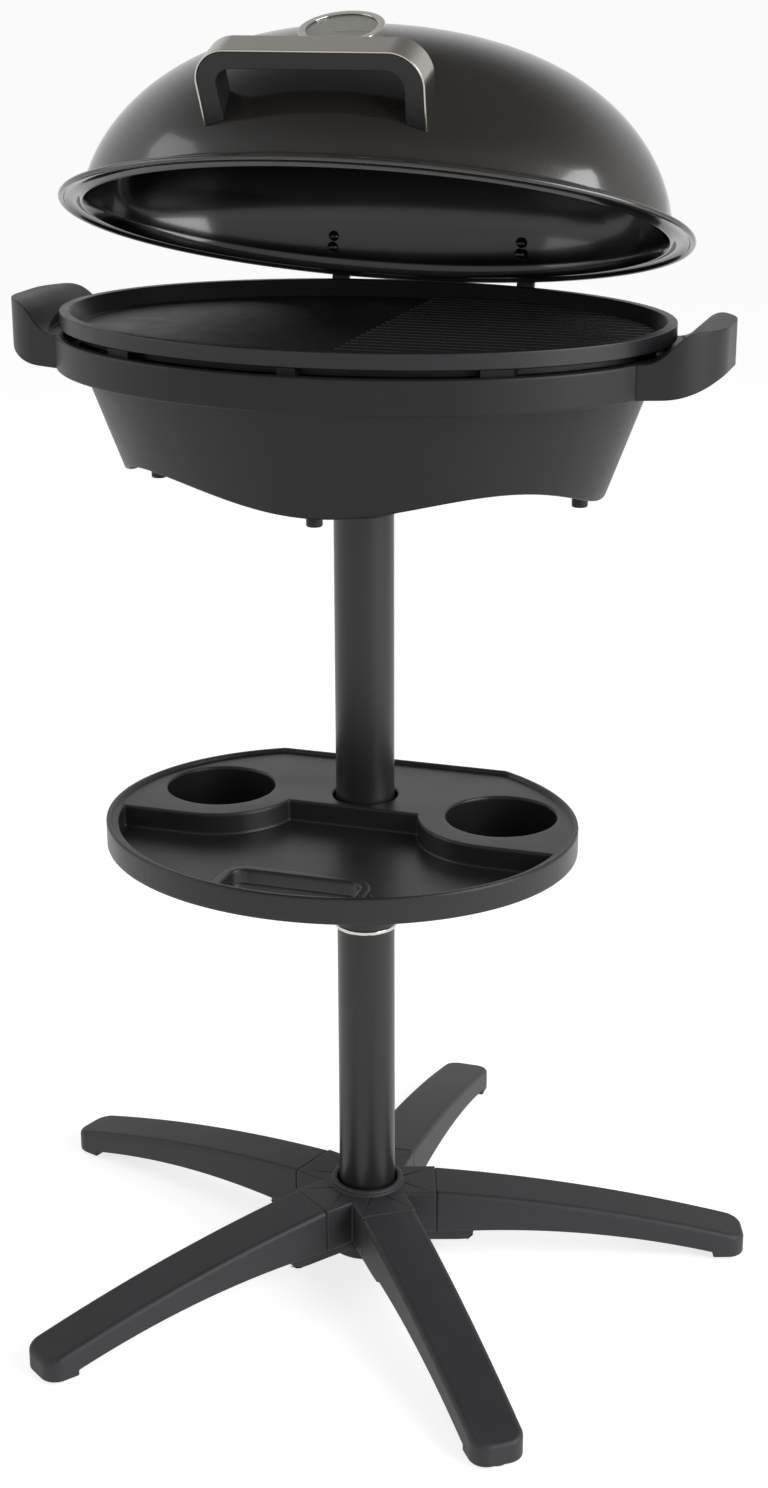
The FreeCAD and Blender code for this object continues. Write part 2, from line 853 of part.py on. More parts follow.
def socket_screw_places():
    places = []
    for index in range(socket_screw_count):
        angle = 2 * math.pi * (index + 1 / 2) / socket_screw_count
        places.append((socket_screw_circle * math.cos(angle), socket_screw_circle * math.sin(angle)))
    return places


def make_column_socket():
    bore = tube_radius + slide_gap
    cup = cylinder(bore + socket_wall, socket_bottom, socket_roof)
    flange = cylinder(socket_flange_radius, socket_roof, floor_under)
    socket = fuse_all([cup, flange])
    socket = socket.cut(cylinder(bore, socket_bottom - overrun, column_top))
    for x, y in socket_screw_places():
        hole = cylinder(screw_radius + seat_gap, socket_roof - overrun, floor_under + overrun, x, y)
        socket = socket.cut(hole)
    return socket


def make_socket_screws():
    length = floor_top - seat_gap - socket_roof
    return group([upright_screw(x, y, socket_roof, length) for x, y in socket_screw_places()])


def make_table_feet():
    places = [(0, -foot_peg_y), (foot_peg_x, 0), (0, foot_peg_y), (-foot_peg_x, 0)]
    return group([cylinder(foot_peg_radius, foot_peg_bottom, floor_under, x, y) for x, y in places])


# Reflector and heater

def make_reflector():
    inset = bowl_wall + reflector_gap
    outer = bowl_block(inset, floor_top, reflector_top)
    inner = bowl_block(inset + reflector_sheet, floor_top + reflector_sheet, reflector_top + overrun)
    return outer.cut(inner)


def heater_path():
    corners = [Vector(-heater_lead, inlet_front, heater_height),
               Vector(-heater_lead, heater_half_y, heater_height),
               Vector(-heater_half_x, heater_half_y, heater_height),
               Vector(-heater_half_x, -heater_half_y, heater_height),
               Vector(heater_half_x, -heater_half_y, heater_height),
               Vector(heater_half_x, heater_half_y, heater_height),
               Vector(heater_lead, heater_half_y, heater_height),
               Vector(heater_lead, inlet_front, heater_height)]
    radii = [0, lead_bend, heater_bend, heater_bend, heater_bend, heater_bend, lead_bend, 0]
    return rounded_wire(corners, radii, closed=False)


def make_heating_element():
    start = Vector(-heater_lead, inlet_front, heater_height)
    ring = Part.Wire(Part.makeCircle(heater_radius, start, Y_AXIS))
    return Part.Wire(heater_path()).makePipeShell([ring], True, False)


def heater_stand(x, y, along_x):
    low = floor_top + reflector_sheet
    half = stand_width / 2
    if along_x:
        post = block(x - stand_thick / 2, x + stand_thick / 2, y - half, y + half, low, heater_height)
        saddle = rod_x(heater_radius + seat_gap, x - half, x + half, y, heater_height)
    else:
        post = block(x - half, x + half, y - stand_thick / 2, y + stand_thick / 2, low, heater_height)
        saddle = rod_y(heater_radius + seat_gap, y - half, y + half, x, heater_height)
    return post.cut(saddle)


def make_element_supports():
    stands = both_sides(heater_stand(heater_half_x, 0, False))
    stands.append(heater_stand(0, -heater_half_y, True))
    return group(stands)


# Power inlet

def make_power_inlet():
    body = block(-inlet_half, inlet_half, inlet_front, inlet_rear, inlet_low, inlet_high)
    space = block(-inlet_half + inlet_wall, inlet_half - inlet_wall, inlet_floor,
                  inlet_rear + overrun, inlet_low + inlet_wall, inlet_high - inlet_wall)
    return body.cut(space)


def make_inlet_pins():
    pin = rod_y(inlet_pin_radius, inlet_floor, inlet_pin_end, heater_lead, heater_height)
    half = earth_width / 2
    thick = earth_thick / 2
    earth = block(-half, half, inlet_floor, inlet_pin_end, heater_height - thick, heater_height + thick)
    return group(both_sides(pin) + [earth])


# Grill plate

def plate_pan(low, high):
    top_x = plate_half_x - rim_width
    top_y = plate_half_y - rim_width
    pan = oval_taper(plate_half_x - pan_inset, plate_half_y - pan_inset, pan_floor,
                     top_x, top_y, plate_top)
    above = oval_block(top_x, top_y, plate_top, plate_top + overrun)
    shape = fuse_all([pan, above])
    return shape.common(block(-plate_half_x, plate_half_x, -plate_half_y, plate_half_y, low, high))


def make_ribs():
    reach = oval_block(plate_half_x - pan_inset, plate_half_y - pan_inset, plate_bottom, rib_top)
    ribs = []
    for row in range(-rib_rows, rib_rows + 1):
        middle = row * rib_pitch
        low = middle - rib_width / 2
        rib = block(rib_start, plate_half_x, low, low + rib_width, plate_bottom, rib_top)
        ribs.append(rib.common(reach))
    return ribs


def make_grill_plate():
    rim = oval_block(plate_half_x, plate_half_y, rim_low, plate_top)
    body = oval_block(plate_half_x - body_inset, plate_half_y - body_inset, plate_bottom, rim_low)
    plate = fuse_all([rim, body]).cut(plate_pan(pan_floor, plate_top + overrun))
    return fuse_all([plate] + make_ribs())


def make_plate_supports():
    ring = oval_block(band_half_x - band_wall - slide_gap, band_half_y - band_wall - slide_gap,
                      ledge_top, rim_low)
    ring = ring.cut(oval_block(plate_half_x - post_inset, plate_half_y - post_inset,
                               ledge_top - overrun, rim_low + overrun))
    posts = []
    for middle, half in ((-post_x, post_half), (0, middle_post_half), (post_x, post_half)):
        for low, high in ((-band_half_y, 0), (0, band_half_y)):
            cell = block(middle - half, middle + half, low, high, ledge_top, rim_low)
            posts.append(ring.common(cell))
    return group([solid for post in posts for solid in post.Solids if not meets_inlet(solid)])


def meets_inlet(solid):
    box = solid.BoundBox
    return box.YMin > 0 and abs(box.Center.x) < inlet_half


# Lid

def dome_curve(inset, base):
    """Profile of the dome from its top to its foot, in the XZ plane."""
    points = []
    for step in range(dome_steps + 1):
        share = math.sin(math.pi / 2 * step / dome_steps)
        rise = (1 - share ** dome_plan_power) ** (1 / dome_rise_power)
        points.append(Vector((dome_half_x - inset) * share, 0, base + (dome_height - inset) * rise))
    curve = Part.BSplineCurve()
    curve.interpolate(Points=points, InitialTangent=X_AXIS, FinalTangent=-Z_AXIS)
    return curve.toShape()


def squash_to_oval(shape, half_x, half_y):
    squash = Matrix()
    squash.scale(1, half_y / half_x, 1)
    return shape.transformGeometry(squash)


def dome_block(inset):
    """Solid dome over the flange, with its oval foot carried down by the overrun."""
    base = flange_low
    reach = dome_half_x - inset
    top = Vector(0, 0, base + dome_height - inset)
    foot = Vector(reach, 0, base)
    low_foot = Vector(reach, 0, base - overrun)
    low_axis = Vector(0, 0, base - overrun)
    lines = [Part.makeLine(foot, low_foot), Part.makeLine(low_foot, low_axis)]
    lines.append(Part.makeLine(low_axis, top))
    face = Part.Face(Part.Wire([dome_curve(inset, base)] + lines))
    round_dome = face.revolve(ORIGIN, Z_AXIS, 360)
    return squash_to_oval(round_dome, reach, dome_half_y - inset)


def make_flange():
    """The lid's flat rim with the bead rolled down around its outer edge."""
    top = flange_low + lid_sheet
    bead_low = top - bead_depth
    inner_x = lid_half_x - bead_width
    inner_y = lid_half_y - bead_width
    round_x = lid_half_x - bead_chamfer
    round_y = lid_half_y - bead_chamfer
    bead = oval_taper(round_x, round_y, bead_low, lid_half_x, lid_half_y, bead_low + bead_chamfer)
    upper = oval_block(lid_half_x, lid_half_y, bead_low + bead_chamfer, top)
    rim = fuse_all([bead, upper])
    rim = rim.cut(oval_block(inner_x, inner_y, bead_low - overrun, flange_low))
    return rim.cut(oval_block(dome_half_x - lid_sheet, dome_half_y - lid_sheet,
                              flange_low - overrun, top + overrun))


def make_lid_shell():
    dome = dome_block(0).cut(dome_block(lid_sheet))
    for x in (-hinge_x, hinge_x):
        for height in bolt_heights:
            dome = dome.cut(rod_y(bolt_radius + seat_gap, leaf_root, hinge_y, x, height))
    for x in (-lid_screw_x, lid_screw_x):
        dome = dome.cut(handle_rod(lid_screw_radius + seat_gap, lid_screw_start, lid_screw_end, x))
    dome = dome.cut(to_gauge(cylinder(stem_radius + seat_gap, -stem_length, case_height)))
    below = block(-lid_half_x, lid_half_x, -lid_half_y, lid_half_y, flange_low - bead_depth, flange_low)
    return fuse_all([dome.cut(below), make_flange()])


def open_lid(shape):
    opened = shape.copy()
    opened.rotate(Vector(0, hinge_y, hinge_z), X_AXIS, -lid_rest_angle)
    return opened


# Hinges

def bracket_screw_places():
    sides = (-bracket_screw_side, bracket_screw_side)
    return [x + side for x in (-hinge_x, hinge_x) for side in sides]


def make_hinge_bracket():
    left = hinge_x - hinge_half
    right = hinge_x + hinge_half
    body = block(left, right, bracket_root, bracket_back, bracket_low, bracket_high)
    bracket = fuse_all([body, rod_x(knuckle_radius, left, right, hinge_y, hinge_z)])
    bracket = bracket.cut(oval_block(band_half_x + seat_gap, band_half_y + seat_gap,
                                     band_bottom, band_top))
    half = leaf_half + leaf_clear
    above = hinge_z + knuckle_radius + overrun
    back = hinge_y + knuckle_radius + overrun
    bracket = bracket.cut(block(hinge_x - half, hinge_x + half, bracket_root, back, gap_low, above))
    bracket = bracket.cut(rod_x(hinge_pin_radius + pin_gap, left - overrun, right + overrun,
                                hinge_y, hinge_z))
    for x in bracket_screw_places():
        hole = rod_y(screw_radius + seat_gap, bracket_screw_reach, bracket_back + overrun,
                     x, bracket_screw_z)
        bracket = bracket.cut(hole)
    return bracket


def make_hinge_pin():
    low = hinge_x - hinge_pin_half
    return rod_x(hinge_pin_radius, low, hinge_x + hinge_pin_half, hinge_y, hinge_z)


def make_bracket_screws():
    screws = []
    for x in bracket_screw_places():
        head = rod_y(screw_head_radius, bracket_back, bracket_back + screw_head, x, bracket_screw_z)
        shank = rod_y(screw_radius, bracket_screw_reach, bracket_back, x, bracket_screw_z)
        screws.append(fuse_all([head, shank]))
    return group(screws)


def make_hinge_leaf(dome):
    left = hinge_x - leaf_half
    right = hinge_x + leaf_half
    pad_left = hinge_x - leaf_pad_half
    pad_right = hinge_x + leaf_pad_half
    leaf_back = leaf_front + leaf_thick
    knuckle = rod_x(knuckle_radius, left, right, hinge_y, hinge_z)
    arm = block(left, right, leaf_front, leaf_back, hinge_z, shelf_high)
    shelf = block(left, right, leaf_root, leaf_back, shelf_low, shelf_high)
    pad = block(pad_left, pad_right, leaf_root, leaf_pad_back, shelf_low, leaf_pad_top)
    leaf = fuse_all([knuckle, arm, shelf, pad]).cut(dome)
    leaf = leaf.cut(rod_x(hinge_pin_radius + pin_gap, left - overrun, right + overrun,
                          hinge_y, hinge_z))
    for height in bolt_heights:
        leaf = leaf.cut(rod_y(bolt_radius + seat_gap, leaf_root, hinge_y, hinge_x, height))
    return leaf


def make_hinge_bolt(height, inside):
    ball = Part.makeSphere(bolt_head_ball, Vector(hinge_x, bolt_head_front + bolt_head_ball, height))
    head = rod_y(bolt_head_radius, bolt_head_front, leaf_pad_back, hinge_x, height)
    head = head.common(fuse_all([ball, rod_y(bolt_head_radius, bolt_head_front + bolt_head_ball,
                                             leaf_pad_back, hinge_x, height)]))
    head = head.common(inside)
    shank = rod_y(bolt_radius, bolt_head_front + bolt_radius, leaf_pad_back, hinge_x, height)
    return fuse_all([head, shank])


# Lid handle

def to_handle(shape):
    """Move a shape from the handle's own plane, legs along Y, to its place on the lid."""
    moved = shape.copy()
    moved.rotate(ORIGIN, X_AXIS, 180 - handle_tilt_angle)
    moved.translate(Vector(0, handle_base_y, handle_base_z))
    return moved


def handle_rod(radius, start, end, x):
    return to_handle(Part.makeCylinder(radius, end - start, Vector(x, start, 0), Y_AXIS))


def bar_face(foot_half, top_half, height, bend, level):
    corners = [Vector(-foot_half, -handle_sunk, level), Vector(-top_half, height, level),
               Vector(top_half, height, level), Vector(foot_half, -handle_sunk, level)]
    return Part.Face(rounded_wire(corners, [0, bend, bend, 0]))


def bar_block(inset, half_width):
    face = bar_face(leg_foot_half - inset, bar_half - inset, bar_height - inset,
                    bar_bend - inset, -half_width)
    return face.extrude(Z_AXIS * (half_width + half_width))


def bar_opening():
    inner_top = bar_half - bar_thick - strip_thick
    reach = strip_half_width + overrun
    face = bar_face(inner_foot_half, inner_top, bar_height - bar_thick, inner_bend, -reach)
    return face.extrude(Z_AXIS * (reach + reach))


def front_of(dome):
    """The part of a dome that lies around the handle and the thermometer."""
    reach = bar_half + bar_thick
    top = flange_low + dome_height + overrun
    back = gauge_y + bezel_radius + overrun
    return dome.common(block(-reach, reach, -lid_half_y, back, flange_low, top))


def make_lid_handle_strip(dome):
    cover = bar_block(0, strip_half_width)
    return to_handle(cover.cut(bar_block(strip_thick, strip_half_width + overrun))).cut(dome)


def make_lid_handle_core(dome):
    core = bar_block(strip_thick, core_half_width).cut(bar_opening())
    core = to_handle(core).cut(dome)
    for x in (-lid_screw_x, lid_screw_x):
        core = core.cut(handle_rod(lid_screw_radius + seat_gap, lid_screw_start, lid_screw_end, x))
    return core


def make_lid_handle_screws(inside):
    screws = []
    for x in (-lid_screw_x, lid_screw_x):
        head = handle_rod(lid_screw_head_radius, lid_screw_start, lid_screw_end, x).common(inside)
        shank = handle_rod(lid_screw_radius, lid_screw_start, lid_screw_end - seat_gap, x)
        screws.append(fuse_all([head, shank]))
    return group(screws)


# Thermometer

def gauge_tilt():
    share = -gauge_y / dome_half_y
    left = 1 - share ** dome_plan_power
    steep = dome_plan_power / dome_rise_power * share ** (dome_plan_power - 1)
    slope = dome_height / dome_half_y * steep * left ** (1 / dome_rise_power - 1)
    return math.degrees(math.atan(slope))


def gauge_height():
    share = -gauge_y / dome_half_y
    return flange_low + dome_height * (1 - share ** dome_plan_power) ** (1 / dome_rise_power)


def to_gauge(shape):
    """Stand a shape drawn around Z upright on the dome where the thermometer sits."""
    moved = shape.copy()
    moved.rotate(ORIGIN, X_AXIS, gauge_tilt())
    moved.translate(Vector(0, gauge_y, gauge_height()))
    return moved


def make_thermometer_case(dome):
    cup = cylinder(case_radius, -case_sunk, case_height)
    cup = cup.cut(cylinder(case_radius - case_wall, case_floor, case_height + overrun))
    cup = to_gauge(cup).cut(dome)
    stem = to_gauge(cylinder(stem_radius, -stem_length, case_floor))
    return fuse_all([cup, stem])


def make_thermometer_bezel(dome):
    glass_top = case_height + glass_thick
    bezel = cylinder(bezel_radius, bezel_low - case_sunk, bezel_high)
    bezel = bezel.cut(cylinder(case_radius + seat_gap, -case_sunk - overrun, glass_top))
    bezel = bezel.cut(cylinder(bezel_bore, glass_top - overrun, bezel_high + overrun))
    return to_gauge(bezel).cut(dome)


def make_thermometer_dial():
    face = cylinder(case_radius - case_wall - seat_gap, case_floor, case_floor + dial_thick)
    hole = cylinder(spindle_radius + pin_gap, case_floor - overrun, case_floor + overrun)
    return to_gauge(face.cut(hole))


def make_thermometer_glass():
    return to_gauge(cylinder(case_radius - seat_gap, case_height, case_height + glass_thick))


def make_thermometer_needle():
    spindle = cylinder(spindle_radius, case_floor + pin_gap, needle_high)
    hub = cylinder(needle_hub, needle_low, needle_high)
    pointer = block(-needle_tail, needle_long, -needle_half, needle_half, needle_low, needle_high)
    return to_gauge(fuse_all([spindle, hub, pointer]))


def make_thermometer_nut(inside):
    nut = cylinder(nut_radius, -nut_depth, case_height)
    nut = nut.cut(cylinder(stem_radius + seat_gap, -nut_depth - overrun, case_height + overrun))
    return to_gauge(nut).common(inside)


# The pieces by name

def stand_pieces():
    leg = make_leg()
    pad = make_leg_pad()
    pieces = {"base_hub": make_base_hub()}
    for index, name in enumerate(leg_names):
        pieces["leg_" + name] = turn_to_leg(leg, index)
    pieces["leg_pads"] = group([turn_to_leg(pad, index) for index in range(len(leg_names))])
    pieces["lower_tube"] = make_lower_tube()
    pieces["upper_tube"] = make_upper_tube()
    pieces["tube_coupling"] = make_tube_coupling()
    pieces["joint_sleeve"] = make_joint_sleeve()
    pieces["joint_ring"] = make_joint_ring()
    return pieces


def head_pieces():
    pieces = {"housing": make_housing()}
    pieces["left_handle"] = make_left_handle()
    pieces["right_handle"] = make_right_handle()
    pieces["handle_screws"] = make_handle_screws()
    pieces["column_socket"] = make_column_socket()
    pieces["socket_screws"] = make_socket_screws()
    pieces["table_feet"] = make_table_feet()
    pieces["reflector"] = make_reflector()
    pieces["heating_element"] = make_heating_element()
    pieces["element_supports"] = make_element_supports()
    pieces["power_inlet"] = make_power_inlet()
    pieces["inlet_pins"] = make_inlet_pins()
    pieces["plate_supports"] = make_plate_supports()
    pieces["grill_plate"] = make_grill_plate()
    pieces["hinge_brackets"] = group(both_sides(make_hinge_bracket()))
    pieces["hinge_pins"] = group(both_sides(make_hinge_pin()))
    pieces["bracket_screws"] = make_bracket_screws()
    return pieces


def lid_pieces():
    dome = dome_block(-seat_gap)
    inside = dome_block(lid_sheet + slide_gap)
    front = front_of(dome)
    front_inside = front_of(inside)
    bolts = []
    for height in bolt_heights:
        bolts += both_sides(make_hinge_bolt(height, inside))
    pieces = {"lid_shell": make_lid_shell()}
    pieces["hinge_leaves"] = group(both_sides(make_hinge_leaf(dome)))
    pieces["hinge_bolts"] = group(bolts)
    pieces["lid_handle_core"] = make_lid_handle_core(front)
    pieces["lid_handle_strip"] = make_lid_handle_strip(front)
    pieces["lid_handle_screws"] = make_lid_handle_screws(front_inside)
    pieces["thermometer_case"] = make_thermometer_case(front)
    pieces["thermometer_bezel"] = make_thermometer_bezel(front)
    pieces["thermometer_dial"] = make_thermometer_dial()
    pieces["thermometer_glass"] = make_thermometer_glass()
    pieces["thermometer_nut"] = make_thermometer_nut(front_inside)
    pieces["thermometer_needle"] = make_thermometer_needle()
    return {name: open_lid(shape) for name, shape in pieces.items()}


def footprint_shift():
    """Distance from the column back to the middle of the five-leg footprint."""
    lean = math.radians(first_leg_angle)
    reach = leg_tip_radius - leg_tip_corner
    side = leg_tip_half - leg_tip_corner
    front = reach * math.cos(lean) + side * math.sin(lean) + leg_tip_corner
    return (leg_tip_radius - front) / 2


def export(pieces):
    shift = Vector(0, -footprint_shift(), 0)
    for name, shape in pieces.items():
        placed = shape.copy()
        placed.translate(shift)
        placed.exportStep("parts/" + name + ".step")
        box = placed.BoundBox
        print(name, len(placed.Solids), "solids", placed.isValid(), round(placed.Volume),
              [round(value, 1) for value in (box.XMin, box.XMax, box.YMin, box.YMax, box.ZMin, box.ZMax)])


os.makedirs("parts", exist_ok=True)
export(stand_pieces())
export({"tray": make_tray()})
export(head_pieces())
export(lid_pieces())
print("hinge y", hinge_y - footprint_shift(), "gauge tilt", gauge_tilt(), "gauge z", gauge_height())
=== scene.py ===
import json
import math

import bmesh
import bpy
from mathutils import Matrix, Vector

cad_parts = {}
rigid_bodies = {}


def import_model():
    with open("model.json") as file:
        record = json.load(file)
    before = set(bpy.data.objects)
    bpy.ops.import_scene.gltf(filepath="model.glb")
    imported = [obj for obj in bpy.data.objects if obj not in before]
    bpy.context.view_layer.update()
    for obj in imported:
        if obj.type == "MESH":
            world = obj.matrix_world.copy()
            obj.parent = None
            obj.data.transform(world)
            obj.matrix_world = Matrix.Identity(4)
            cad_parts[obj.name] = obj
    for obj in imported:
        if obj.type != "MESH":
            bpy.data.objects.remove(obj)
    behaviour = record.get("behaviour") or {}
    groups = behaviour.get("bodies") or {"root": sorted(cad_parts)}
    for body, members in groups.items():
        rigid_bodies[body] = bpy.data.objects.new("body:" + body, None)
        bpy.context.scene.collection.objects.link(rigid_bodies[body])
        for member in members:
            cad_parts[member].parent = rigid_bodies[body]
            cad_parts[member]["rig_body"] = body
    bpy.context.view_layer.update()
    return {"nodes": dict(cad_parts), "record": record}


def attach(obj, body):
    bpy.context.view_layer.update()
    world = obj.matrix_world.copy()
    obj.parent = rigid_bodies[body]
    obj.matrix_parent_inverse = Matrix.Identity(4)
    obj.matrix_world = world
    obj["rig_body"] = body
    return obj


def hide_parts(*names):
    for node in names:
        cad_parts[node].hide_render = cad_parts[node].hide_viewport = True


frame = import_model()
scene = bpy.context.scene
scene.view_settings.view_transform = "Standard"
mm = 0.001
footprintShift = -29.117 * mm     # from the column to the middle of the footprint
print("frame loaded:", len(frame["nodes"]), "nodes")


# small tools

def toLinear(hexColour):
    parts = [int(hexColour[i:i + 2], 16) / 255 for i in (1, 3, 5)]
    return [p / 12.92 if p <= 0.04045 else ((p + 0.055) / 1.055) ** 2.4 for p in parts] + [1.0]


def addNode(tree, kind, settings=None, links=None):
    node = tree.nodes.new(kind)
    for key, value in (settings or {}).items():
        if key in node.inputs:
            node.inputs[key].default_value = value
        else:
            setattr(node, key, value)
    for key, source in (links or {}).items():
        tree.links.new(source, node.inputs[key])
    return node


def newMaterial(name, shader):
    made = bpy.data.materials.new(name)
    made.use_nodes = True
    tree = made.node_tree
    tree.nodes.clear()
    surface = addNode(tree, "ShaderNodeBsdfPrincipled", shader)
    addNode(tree, "ShaderNodeOutputMaterial", None, {"Surface": surface.outputs["BSDF"]})
    place = addNode(tree, "ShaderNodeTexCoord")
    return made, tree, surface, place.outputs["Object"]


def perMetre(sizeInMm):
    return 1 / (sizeInMm * mm)    # texture scale for a pattern of that size


def finishSurface(tree, surface, look, tone, sheen, relief):
    # colour, roughness and bump each follow a pattern between the look's two ends
    paint = addNode(tree, "ShaderNodeMix", {"data_type": "RGBA", "A": toLinear(look["dark"]),
                                            "B": toLinear(look["light"])}, {"Factor": tone})
    gloss = addNode(tree, "ShaderNodeMapRange", {"To Min": look["rough"][0], "To Max": look["rough"][1]},
                    {"Value": sheen})
    bump = addNode(tree, "ShaderNodeBump", {"Strength": look["bump"], "Distance": look["depthMm"] * mm},
                   {"Height": relief})
    tree.links.new(paint.outputs["Result"], surface.inputs["Base Color"])
    tree.links.new(gloss.outputs["Result"], surface.inputs["Roughness"])
    tree.links.new(bump.outputs["Normal"], surface.inputs["Normal"])
    return bump


# materials

mouldedBase = {"ior": 1.49, "depthMm": 0.3, "flowMm": 60, "flowDetail": 4.0, "grainDetail": 2.0,
               "cornerSamples": 6}
mouldedLook = {
    "housing": {"dark": "#171719", "light": "#202022", "rough": (0.35, 0.5), "gloss": 0.32, "grainMm": 1.1,
                "bump": 0.16, "edgeMm": 2.0},
    "leg": {"dark": "#1e1c1f", "light": "#353236", "rough": (0.49, 0.64), "gloss": 0.5, "grainMm": 1.6,
            "bump": 0.2, "edgeMm": 2.5},
    "tray": {"dark": "#161618", "light": "#1f1f21", "rough": (0.27, 0.42), "gloss": 0.45, "grainMm": 0.9,
             "bump": 0.1, "edgeMm": 3.5},
    "handle": {"dark": "#1d1c1c", "light": "#262424", "rough": (0.38, 0.53), "gloss": 0.4, "grainMm": 1.0,
               "bump": 0.12, "edgeMm": 0.8},
    "inlet": {"dark": "#161616", "light": "#1f1f1f", "rough": (0.43, 0.58), "gloss": 0.4, "grainMm": 1.0,
              "bump": 0.12, "edgeMm": 0.6},
    "post": {"dark": "#0c0c0c", "light": "#121212", "rough": (0.48, 0.6), "gloss": 0.25, "grainMm": 1.0,
             "bump": 0.12, "edgeMm": 0.6},
}


def mouldedPlastic(name, look):
    # moulded polypropylene: soft sheen, faint cloudy flow marks and a fine spark-eroded grain
    # the real grain is about 0.3 mm, drawn coarser so that it shows
    look = mouldedBase | look
    made, tree, surface, place = newMaterial(name, {"IOR": look["ior"], "Specular IOR Level": look["gloss"]})
    flow = addNode(tree, "ShaderNodeTexNoise",
                   {"Scale": perMetre(look["flowMm"]), "Detail": look["flowDetail"]}, {"Vector": place})
    grain = addNode(tree, "ShaderNodeTexNoise",
                    {"Scale": perMetre(look["grainMm"]), "Detail": look["grainDetail"]}, {"Vector": place})
    bump = finishSurface(tree, surface, look, flow.outputs["Fac"], flow.outputs["Fac"], grain.outputs["Fac"])
    corner = addNode(tree, "ShaderNodeBevel",
                     {"samples": look["cornerSamples"], "Radius": look["edgeMm"] * mm})
    tree.links.new(corner.outputs["Normal"], bump.inputs["Normal"])
    return made


enamelBase = {"ior": 1.5, "coatRough": 0.06, "bump": 0.05, "depthMm": 0.2, "fleckMm": 0.8,
              "fleckDetail": 1.0, "smearMm": 70, "smearDetail": 3.0, "peelMm": 5, "peelDetail": 1.0}
enamelLook = {
    "outside": {"dark": "#282624", "light": "#302d2b", "rough": (0.13, 0.22), "coat": 0.5},
    "inside": {"dark": "#0f0e0e", "light": "#151413", "rough": (0.12, 0.21), "coat": 0.3},
}


def enamel(name, look):
    # fired enamel on pressed steel: deep gloss over graphite, with a slight orange peel
    look = enamelBase | look
    made, tree, surface, place = newMaterial(name, {"IOR": look["ior"], "Coat Weight": look["coat"],
                                                    "Coat Roughness": look["coatRough"]})
    fleck = addNode(tree, "ShaderNodeTexNoise",
                    {"Scale": perMetre(look["fleckMm"]), "Detail": look["fleckDetail"]}, {"Vector": place})
    smear = addNode(tree, "ShaderNodeTexNoise",
                    {"Scale": perMetre(look["smearMm"]), "Detail": look["smearDetail"]}, {"Vector": place})
    peel = addNode(tree, "ShaderNodeTexNoise",
                   {"Scale": perMetre(look["peelMm"]), "Detail": look["peelDetail"]}, {"Vector": place})
    finishSurface(tree, surface, look, fleck.outputs["Fac"], smear.outputs["Fac"], peel.outputs["Fac"])
    return made


powderBase = {"ior": 1.5, "bump": 0.08, "depthMm": 0.2, "pebbleMm": 1.3, "pebbleDetail": 2.0}
powderLook = {
    "tube": {"dark": "#161516", "light": "#1d1c1d", "rough": (0.31, 0.43)},
    "hinge": {"dark": "#191919", "light": "#212121", "rough": (0.37, 0.49)},
    "bolt": {"dark": "#0d0d0d", "light": "#131313", "rough": (0.15, 0.27)},
}


def powderCoat(name, look):
    # satin powder coat on steel: even black with a very fine pebble
    look = powderBase | look
    made, tree, surface, place = newMaterial(name, {"IOR": look["ior"]})
    pebble = addNode(tree, "ShaderNodeTexNoise",
                     {"Scale": perMetre(look["pebbleMm"]), "Detail": look["pebbleDetail"]}, {"Vector": place})
    finishSurface(tree, surface, look, pebble.outputs["Fac"], pebble.outputs["Fac"], pebble.outputs["Fac"])
    return made


nonStickLook = {"ior": 1.45, "dark": "#1f2022", "light": "#323335", "rough": (0.3, 0.46), "bump": 0.12,
                "depthMm": 0.2, "speckMm": 3.0, "speckEdge": (0.1, 0.16), "cloudMm": 18, "cloudDetail": 3.0,
                "gritMm": 1.0, "gritDetail": 2.0}


def nonStick(name, look):
    # sprayed non-stick coating on cast aluminium: near black, satin, with tiny lighter specks
    made, tree, surface, place = newMaterial(name, {"IOR": look["ior"]})
    cell = addNode(tree, "ShaderNodeTexVoronoi", {"Scale": perMetre(look["speckMm"])}, {"Vector": place})
    inner, outer = look["speckEdge"]
    speck = addNode(tree, "ShaderNodeMapRange",
                    {"From Min": inner, "From Max": outer, "To Min": 1.0, "To Max": 0.0},
                    {"Value": cell.outputs["Distance"]})
    cloud = addNode(tree, "ShaderNodeTexNoise",
                    {"Scale": perMetre(look["cloudMm"]), "Detail": look["cloudDetail"]}, {"Vector": place})
    grit = addNode(tree, "ShaderNodeTexNoise",
                   {"Scale": perMetre(look["gritMm"]), "Detail": look["gritDetail"]}, {"Vector": place})
    finishSurface(tree, surface, look, speck.outputs["Result"], cloud.outputs["Fac"], grit.outputs["Fac"])
    return made


metalBase = {"depthMm": 0.1, "grainDetail": 3.0}
metalLook = {
    "strip": {"dark": "#aea9a2", "light": "#bdb8b1", "rough": (0.15, 0.25), "bump": 0.025,
              "grainMm": (120.0, 0.6, 0.6)},
    "chrome": {"dark": "#bdb9b2", "light": "#cfccc6", "rough": (0.075, 0.125), "bump": 0.02,
               "grainMm": (9.0, 9.0, 9.0)},
    "zinc": {"dark": "#77787b", "light": "#8f9092", "rough": (0.27, 0.45), "bump": 0.06,
             "grainMm": (2.0, 2.0, 2.0)},
    "heater": {"dark": "#35312f", "light": "#4c4743", "rough": (0.375, 0.625), "bump": 0.1,
               "grainMm": (4.0, 4.0, 4.0)},
    "reflector": {"dark": "#a3a5a8", "light": "#b9bbbd", "rough": (0.225, 0.375), "bump": 0.05,
                  "grainMm": (30.0, 1.0, 1.0)},
    "brass": {"dark": "#a08345", "light": "#b89a55", "rough": (0.225, 0.375), "bump": 0.04,
              "grainMm": (2.0, 2.0, 2.0)},
}


